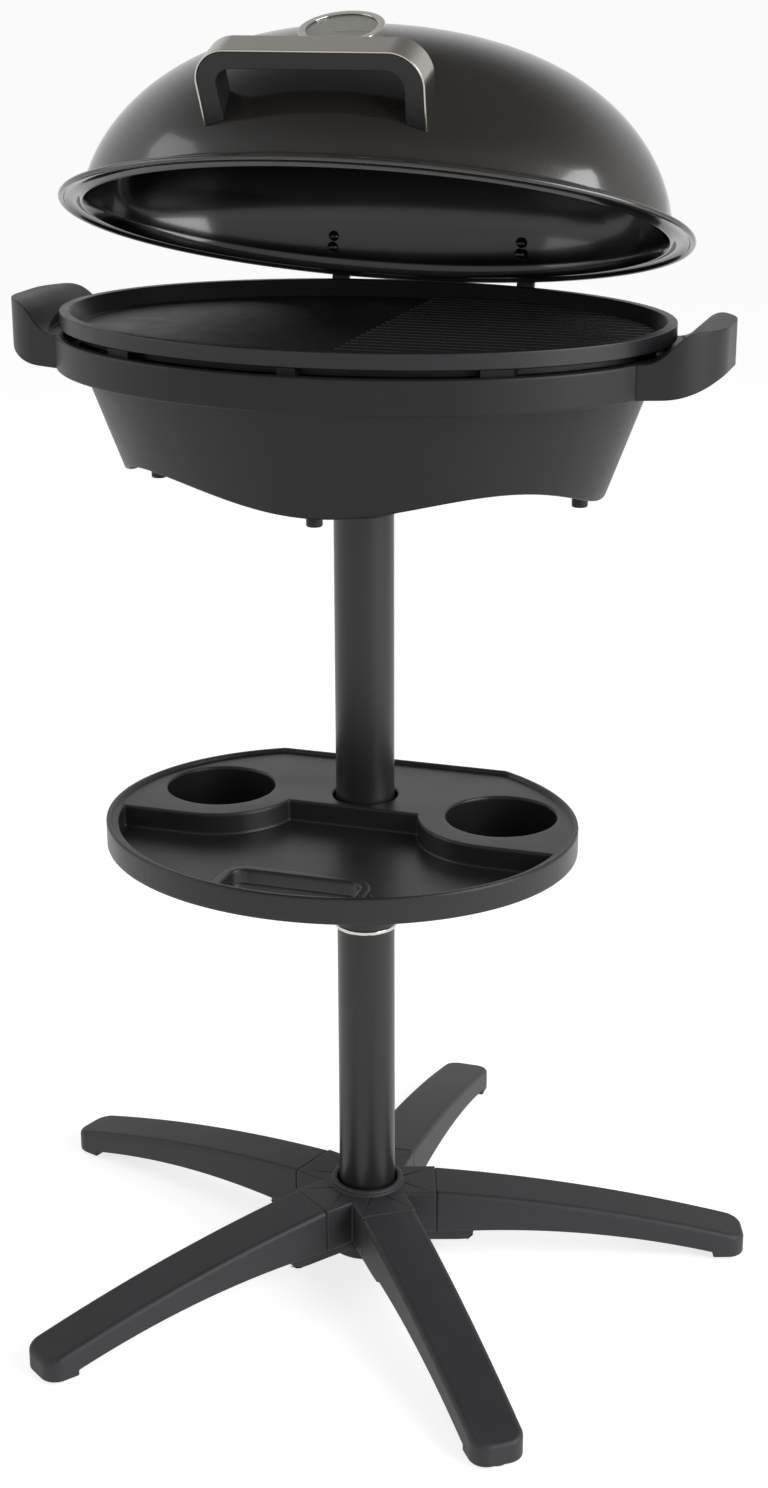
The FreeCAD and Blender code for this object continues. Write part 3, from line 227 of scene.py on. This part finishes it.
def bareMetal(name, look):
    # bare metal: the grain's three sizes draw brush lines where one is much longer
    look = metalBase | look
    made, tree, surface, place = newMaterial(name, {"Metallic": 1.0})
    size = addNode(tree, "ShaderNodeMapping", {"Scale": [perMetre(g) for g in look["grainMm"]]},
                   {"Vector": place})
    line = addNode(tree, "ShaderNodeTexNoise", {"Scale": 1.0, "Detail": look["grainDetail"]},
                   {"Vector": size.outputs["Vector"]})
    finishSurface(tree, surface, look, line.outputs["Fac"], line.outputs["Fac"], line.outputs["Fac"])
    return made


dialLook = {"dark": "#8b8974", "light": "#a09e88", "rough": (0.46, 0.54), "bump": 0.02, "depthMm": 0.05,
            "cloudMm": 14, "cloudDetail": 3.0}


def printedDial(name, look):
    # printed steel dial: khaki grey, faintly uneven
    made, tree, surface, place = newMaterial(name, {})
    cloud = addNode(tree, "ShaderNodeTexNoise",
                    {"Scale": perMetre(look["cloudMm"]), "Detail": look["cloudDetail"]}, {"Vector": place})
    finishSurface(tree, surface, look, cloud.outputs["Fac"], cloud.outputs["Fac"], cloud.outputs["Fac"])
    return made


glassLook = {"ior": 1.5, "tint": "#f4f6f2", "haze": 0.08, "dustMm": 4, "dustDetail": 4.0}


def clearGlass(name, look):
    # flat soda glass with a trace of dust that softens the gloss
    made, tree, surface, place = newMaterial(name, {"IOR": look["ior"], "Transmission Weight": 1.0})
    surface.inputs["Base Color"].default_value = toLinear(look["tint"])
    dust = addNode(tree, "ShaderNodeTexNoise",
                   {"Scale": perMetre(look["dustMm"]), "Detail": look["dustDetail"]}, {"Vector": place})
    haze = addNode(tree, "ShaderNodeMapRange", {"To Max": look["haze"]}, {"Value": dust.outputs["Fac"]})
    tree.links.new(haze.outputs["Result"], surface.inputs["Roughness"])
    return made


housingPlastic = mouldedPlastic("MouldedHousingPlastic", mouldedLook["housing"])
legPlastic = mouldedPlastic("MouldedLegPlastic", mouldedLook["leg"])
trayPlastic = mouldedPlastic("MouldedTrayPlastic", mouldedLook["tray"])
handlePlastic = mouldedPlastic("MouldedHandlePlastic", mouldedLook["handle"])
inletPlastic = mouldedPlastic("MouldedInletPlastic", mouldedLook["inlet"])
postPlastic = mouldedPlastic("MouldedPostPlastic", mouldedLook["post"])
lidOutside = enamel("GraphiteEnamel", enamelLook["outside"])
lidInside = enamel("BlackEnamel", enamelLook["inside"])
tubePaint = powderCoat("SatinPowderCoat", powderLook["tube"])
hingePaint = powderCoat("HingePowderCoat", powderLook["hinge"])
boltPaint = powderCoat("GlossBoltPaint", powderLook["bolt"])
plateCoating = nonStick("NonStickCoating", nonStickLook)
stripSteel = bareMetal("BrushedStainlessSteel", metalLook["strip"])
chromeSteel = bareMetal("PolishedSteel", metalLook["chrome"])
zincSteel = bareMetal("ZincPlatedSteel", metalLook["zinc"])
heaterSteel = bareMetal("HeatDarkenedSteel", metalLook["heater"])
reflectorSheet = bareMetal("RolledAluminium", metalLook["reflector"])
contactBrass = bareMetal("DrawnBrass", metalLook["brass"])
dialPrint = printedDial("PrintedDial", dialLook)
gaugeGlass = clearGlass("SodaGlass", glassLook)
print("materials made:", len(bpy.data.materials))


# pieces

def placePiece(name, bm, body, slot, materials, *nodes):
    mesh = bpy.data.meshes.new(name)
    bm.to_mesh(mesh)
    bm.free()
    piece = bpy.data.objects.new(name, mesh)
    scene.collection.objects.link(piece)
    for made in materials:
        mesh.materials.append(made)
    mesh.polygons.foreach_set("use_smooth", [True] * len(mesh.polygons))
    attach(piece, body)
    if nodes:
        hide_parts(*nodes)
    return piece


def softenEdges(piece, width, segments, angle):
    bevel = piece.modifiers.new("edgeRound", "BEVEL")
    bevel.width = width
    bevel.segments = segments
    bevel.limit_method = "ANGLE"
    bevel.angle_limit = math.radians(angle)
    bevel.use_clamp_overlap = False
    shade = piece.modifiers.new("evenShade", "WEIGHTED_NORMAL")
    shade.keep_sharp = True
    piece.data.set_sharp_from_angle(angle=math.radians(angle))


softEdge = {"mergeMm": 0.02, "flatAngle": 0.5, "segments": 3, "angle": 32}
splitNodes = {"base_hub", "tray"}    # wide faces with holes, split before their edges are rounded
materialSlots = {entry["node"]: entry["material_slot"] for entry in frame["record"]["subparts"]}


def softCopy(node, name, material, width):
    # a copy of the frame's own mesh, merged and cleaned, with moulded edge rounds
    source = frame["nodes"][node]
    bm = bmesh.new()
    bm.from_mesh(source.data)
    bmesh.ops.remove_doubles(bm, verts=bm.verts, dist=softEdge["mergeMm"] * mm)
    flatAngle = math.radians(softEdge["flatAngle"])
    bmesh.ops.dissolve_limit(bm, angle_limit=flatAngle, verts=bm.verts, edges=bm.edges)
    if node in splitNodes:
        bmesh.ops.triangulate(bm, faces=bm.faces[:])
    for face in bm.faces:
        face.material_index = 0
    piece = placePiece(name, bm, source["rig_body"], materialSlots[node], [material], node)
    softenEdges(piece, width, softEdge["segments"], softEdge["angle"])


# node, piece, material, edge round in mm
roundedPieces = [
    ("base_hub", "baseHub", legPlastic, 1.6),
    ("leg_front_right", "legFrontRight", legPlastic, 1.5),
    ("leg_right", "legRight", legPlastic, 1.5),
    ("leg_rear", "legRear", legPlastic, 1.5),
    ("leg_left", "legLeft", legPlastic, 1.5),
    ("leg_front_left", "legFrontLeft", legPlastic, 1.5),
    ("tray", "shelfTray", trayPlastic, 1.2),
    ("housing", "housingBowl", housingPlastic, 1.2),
    ("left_handle", "leftGrip", housingPlastic, 0.2),
    ("right_handle", "rightGrip", housingPlastic, 0.2),
    ("lid_handle_core", "lidHandleCore", handlePlastic, 0.8),
    ("lid_handle_strip", "lidHandleStrip", stripSteel, 0.4),
    ("grill_plate", "grillPlate", plateCoating, 1.0),
    ("joint_sleeve", "jointSleeve", tubePaint, 0.5),
    ("joint_ring", "jointRing", chromeSteel, 0.8),
    ("thermometer_bezel", "gaugeBezel", chromeSteel, 0.45),
    ("column_socket", "columnSocket", housingPlastic, 0.8),
    ("table_feet", "tableFeet", housingPlastic, 1.2),
    ("hinge_leaves", "hingeLeaves", hingePaint, 0.5),
    ("hinge_brackets", "hingeBrackets", hingePaint, 0.5),
    ("power_inlet", "powerInlet", inletPlastic, 0.5),
    ("leg_pads", "legPads", inletPlastic, 0.6),
]
for node, name, material, width in roundedPieces:
    softCopy(node, name, material, width * mm)
print("rounded pieces:", len(roundedPieces))


# lid pressing: one profile spun and drawn to an oval, then opened on its hinge
lidPressing = {
    "domeX": 241.0, "domeY": 170.0, "foot": 859.2, "rise": 144.8, "planPower": 2.5, "risePower": 1.8,
    "sheet": 1.2, "rimX": 260.0, "beadRadius": 2.4, "beadFrom": 90, "beadTo": -170, "beadSteps": 14,
    "beadWidth": 6.2, "footRun": 0.8, "footRise": 0.25, "footEnd": 3.0, "lipDepth": 3.0, "lipWidth": 0.2,
    "lipSlope": 1.8, "lipShoulder": 0.6, "lipTip": 0.6, "lipTipDrop": 0.4, "steps": 26, "spin": 160,
    "hingeY": 190.0, "hingeZ": 831.0, "openAngle": 21.2, "mergeMm": 0.01,
}


def domeProfile(inset, look):
    points = []
    for step in range(look["steps"] + 1):
        share = math.sin(math.pi / 2 * step / look["steps"])
        height = (1 - share ** look["planPower"]) ** (1 / look["risePower"])
        points.append(((look["domeX"] - inset) * share, look["foot"] + (look["rise"] - inset) * height))
    return points


def beadProfile(look):
    radius = look["beadRadius"]
    centreR = look["rimX"] - radius
    centreZ = look["foot"] - radius
    points = []
    for step in range(look["beadSteps"] + 1):
        share = step / look["beadSteps"]
        angle = math.radians(look["beadFrom"] + (look["beadTo"] - look["beadFrom"]) * share)
        points.append((centreR + radius * math.cos(angle), centreZ + radius * math.sin(angle)))
    return points


def lipProfile(look):
    # underside of the flange from the bead in to the dome, with the lip that hangs from it
    underside = look["foot"] - look["sheet"]
    lipLow = underside - look["lipDepth"]
    lipR = look["domeX"] + look["lipWidth"]
    return [(look["rimX"] - look["beadWidth"], underside), (lipR + look["lipSlope"], underside),
            (lipR + look["lipShoulder"], lipLow), (lipR - look["lipTip"], lipLow - look["lipTipDrop"]),
            (look["domeX"] - look["sheet"], lipLow)]


def lidProfile(look):
    outer = domeProfile(0, look)
    inner = domeProfile(look["sheet"], look)
    flange = [(look["domeX"] + look["footRun"], look["foot"] + look["footRise"]),
              (look["domeX"] + look["footEnd"], look["foot"])]
    return outer[:-1] + flange + beadProfile(look) + lipProfile(look) + inner[-2::-1]


def ovalDraw(bm, look):
    # the dome scales to the oval, the rim keeps its width all round
    gap = look["domeX"] - look["domeY"]
    for vert in bm.verts:
        radius = math.hypot(vert.co.x, vert.co.y)
        if radius < look["mergeMm"] * mm:
            continue
        drawn = radius * look["domeY"] / look["domeX"] if radius < look["domeX"] * mm else radius - gap * mm
        vert.co.y *= drawn / radius


def markInside(bm, look):
    # the second enamel goes on the faces that look into the dome
    for face in bm.faces:
        middle = face.calc_center_median()
        radius = math.hypot(middle.x, middle.y * look["domeX"] / look["domeY"]) / mm
        outward = face.normal.dot(middle - Vector((0, 0, look["foot"] * mm)))
        face.material_index = 1 if outward < 0 and radius < look["domeX"] + look["footRun"] else 0


def openLid(bm, look):
    pivot = Vector((0, look["hingeY"] * mm + footprintShift, look["hingeZ"] * mm))
    turn = Matrix.Rotation(math.radians(-look["openAngle"]), 3, "X")
    bmesh.ops.rotate(bm, verts=bm.verts, cent=pivot, matrix=turn)


def makeLidShell(look):
    bm = bmesh.new()
    verts = [bm.verts.new((r * mm, 0, z * mm)) for r, z in lidProfile(look)]
    edges = [bm.edges.new(pair) for pair in zip(verts, verts[1:])]
    bmesh.ops.spin(bm, geom=verts + edges, cent=(0, 0, 0), axis=(0, 0, 1), angle=math.tau,
                   steps=look["spin"], use_merge=True)
    bmesh.ops.remove_doubles(bm, verts=bm.verts, dist=look["mergeMm"] * mm)
    bmesh.ops.recalc_face_normals(bm, faces=bm.faces)
    ovalDraw(bm, look)
    markInside(bm, look)
    bmesh.ops.translate(bm, verts=bm.verts, vec=(0, footprintShift, 0))
    openLid(bm, look)
    placePiece("lidShell", bm, "lid", "lid_enamel", [lidOutside, lidInside], "lid_shell")


makeLidShell(lidPressing)
print("lid pressed")


# deep collar under the tray's slot
slotCollar = {"halfX": 54.0, "front": -218.0, "rear": -170.0, "corner": 12.0, "cornerSteps": 6,
              "cornerProfile": 0.5, "top": 426.0, "frontDrop": 1.0, "rearDrop": 11.0, "levelNormal": 0.9,
              "wall": 2.5, "edgeRound": 0.6, "edgeSteps": 2, "edgeAngle": 40}


def makeSlotCollar(look):
    bm = bmesh.new()
    corners = [(-look["halfX"], look["front"]), (look["halfX"], look["front"]),
               (look["halfX"], look["rear"]), (-look["halfX"], look["rear"])]
    top = [bm.verts.new((x * mm, y * mm + footprintShift, look["top"] * mm)) for x, y in corners]
    bm.faces.new(top)
    bmesh.ops.bevel(bm, geom=bm.verts[:], offset=look["corner"] * mm, offset_type="OFFSET", affect="VERTICES",
                    segments=look["cornerSteps"], profile=look["cornerProfile"], material=-1)
    rim = [edge for edge in bm.edges if edge.is_boundary]
    low = bmesh.ops.extrude_edge_only(bm, edges=rim)["geom"]
    for vert in [part for part in low if isinstance(part, bmesh.types.BMVert)]:
        share = ((vert.co.y - footprintShift) / mm - look["front"]) / (look["rear"] - look["front"])
        vert.co.z -= (look["frontDrop"] + (look["rearDrop"] - look["frontDrop"]) * share) * mm
    caps = [face for face in bm.faces if abs(face.normal.z) > look["levelNormal"]]
    bmesh.ops.delete(bm, geom=caps, context="FACES_ONLY")
    bmesh.ops.recalc_face_normals(bm, faces=bm.faces)
    bmesh.ops.solidify(bm, geom=bm.faces[:], thickness=-look["wall"] * mm)
    piece = placePiece("slotCollar", bm, "tray_body", "tray_plastic", [trayPlastic])
    softenEdges(piece, look["edgeRound"] * mm, look["edgeSteps"], look["edgeAngle"])


makeSlotCollar(slotCollar)
print("slot collar made")


# finishes for the frame pieces that keep their own mesh
keptFinishes = {
    "lower_tube": tubePaint, "upper_tube": tubePaint, "tube_coupling": tubePaint, "handle_screws": zincSteel,
    "socket_screws": zincSteel, "bracket_screws": zincSteel, "hinge_pins": zincSteel,
    "lid_handle_screws": zincSteel, "thermometer_nut": zincSteel, "reflector": reflectorSheet,
    "heating_element": heaterSteel, "element_supports": heaterSteel, "inlet_pins": contactBrass,
    "plate_supports": postPlastic, "hinge_bolts": boltPaint, "thermometer_case": chromeSteel,
    "thermometer_dial": dialPrint, "thermometer_glass": gaugeGlass, "thermometer_needle": contactBrass,
}
for node, material in keptFinishes.items():
    for slot in frame["nodes"][node].material_slots:
        slot.material = material
print("finishes set:", len(keptFinishes))


# floor, lights and camera

floorLook = {"half": 60.0, "grey": 0.55, "glow": 0.77}


def makeFloor(look):
    bm = bmesh.new()
    bmesh.ops.create_grid(bm, x_segments=1, y_segments=1, size=look["half"])
    mesh = bpy.data.meshes.new("paleFloor")
    bm.to_mesh(mesh)
    bm.free()
    floor = bpy.data.objects.new("paleFloor", mesh)
    scene.collection.objects.link(floor)
    mesh.materials.append(floorPaint(look))


def floorPaint(look):
    # seen directly or in a reflection the floor is white, but it keeps the shadow
    made = bpy.data.materials.new("PaleFloor")
    made.use_nodes = True
    tree = made.node_tree
    tree.nodes.clear()
    matte = addNode(tree, "ShaderNodeBsdfDiffuse", {"Color": (look["grey"], look["grey"], look["grey"], 1.0)})
    glow = addNode(tree, "ShaderNodeEmission", {"Strength": look["glow"]})
    both = addNode(tree, "ShaderNodeAddShader", None, {0: matte.outputs["BSDF"], 1: glow.outputs["Emission"]})
    path = addNode(tree, "ShaderNodeLightPath")
    seen = addNode(tree, "ShaderNodeMath", {"operation": "MAXIMUM"},
                   {0: path.outputs["Is Camera Ray"], 1: path.outputs["Is Glossy Ray"]})
    pick = addNode(tree, "ShaderNodeMixShader", None,
                   {0: seen.outputs["Value"], 1: matte.outputs["BSDF"], 2: both.outputs["Shader"]})
    addNode(tree, "ShaderNodeOutputMaterial", None, {"Surface": pick.outputs["Shader"]})
    return made


roomLook = {"backdrop": 1.0, "ambient": 0.336, "wall": 0.8, "ceiling": 0.112, "wallTop": 0.4,
            "ceilingStart": 0.92}


def makeWorld(look):
    # the camera sees white, reflections see pale walls that darken towards the ceiling
    world = bpy.data.worlds.new("studio")
    world.use_nodes = True
    tree = world.node_tree
    tree.nodes.clear()
    path = addNode(tree, "ShaderNodeLightPath")
    seen = addNode(tree, "ShaderNodeMath", {"operation": "MAXIMUM"},
                   {0: path.outputs["Is Glossy Ray"], 1: path.outputs["Is Transmission Ray"]})
    place = addNode(tree, "ShaderNodeTexCoord")
    axes = addNode(tree, "ShaderNodeSeparateXYZ", None, {"Vector": place.outputs["Generated"]})
    walls = addNode(tree, "ShaderNodeMapRange",
                    {"From Min": look["wallTop"], "From Max": look["ceilingStart"], "To Min": look["wall"],
                     "To Max": look["ceiling"], "interpolation_type": "SMOOTHSTEP"},
                    {"Value": axes.outputs["Z"]})
    level = addNode(tree, "ShaderNodeMix", {"data_type": "FLOAT", "A": look["ambient"]},
                    {"Factor": seen.outputs["Value"], "B": walls.outputs["Result"]})
    shown = addNode(tree, "ShaderNodeMix", {"data_type": "FLOAT", "B": look["backdrop"]},
                    {"Factor": path.outputs["Is Camera Ray"], "A": level.outputs["Result"]})
    back = addNode(tree, "ShaderNodeBackground", {"Color": (1, 1, 1, 1)},
                   {"Strength": shown.outputs["Result"]})
    addNode(tree, "ShaderNodeOutputWorld", None, {"Surface": back.outputs["Background"]})
    scene.world = world


lampPlan = {
    "rightSoftbox": {"place": (2.7, -0.7, 1.7), "aim": (0, 0, 0.7), "size": 2.0, "power": 80},
    "leftSoftbox": {"place": (-2.7, -1.0, 1.9), "aim": (0, 0, 0.8), "size": 1.8, "power": 16},
}


def makeLamp(name, plan):
    data = bpy.data.lights.new(name, "AREA")
    data.shape = "SQUARE"
    data.size = plan["size"]
    data.energy = plan["power"]
    lamp = bpy.data.objects.new(name, data)
    scene.collection.objects.link(lamp)
    lamp.location = plan["place"]
    aim = Vector(plan["aim"]) - Vector(plan["place"])
    lamp.rotation_euler = aim.to_track_quat("-Z", "Y").to_euler()


cameraPlan = {"distance": 1.8876, "height": 1.1556, "azimuth": 18.24, "pitch": 19.38, "roll": -0.31,
              "lens": 56.955, "sensor": 36, "shift": 0.01274}


def makeCamera(plan):
    turn = math.radians(plan["azimuth"])
    dip = math.radians(plan["pitch"])
    roll = math.radians(plan["roll"])
    ahead = Vector((-math.sin(turn) * math.cos(dip), math.cos(turn) * math.cos(dip), -math.sin(dip)))
    right = Vector((math.cos(turn), math.sin(turn), 0))
    down = ahead.cross(right)
    imageRight = right * math.cos(roll) - down * math.sin(roll)
    imageDown = right * math.sin(roll) + down * math.cos(roll)
    data = bpy.data.cameras.new("photoCamera")
    data.lens = plan["lens"]
    data.sensor_width = plan["sensor"]
    data.shift_x = plan["shift"]
    camera = bpy.data.objects.new("photoCamera", data)
    scene.collection.objects.link(camera)
    spotX = plan["distance"] * math.sin(turn)
    spotY = footprintShift - plan["distance"] * math.cos(turn)
    axes = Matrix((imageRight, -imageDown, -ahead)).transposed().to_4x4()
    camera.matrix_world = Matrix.Translation((spotX, spotY, plan["height"])) @ axes
    scene.camera = camera


makeFloor(floorLook)
makeWorld(roomLook)
for name, plan in lampPlan.items():
    makeLamp(name, plan)
makeCamera(cameraPlan)
print("studio set")
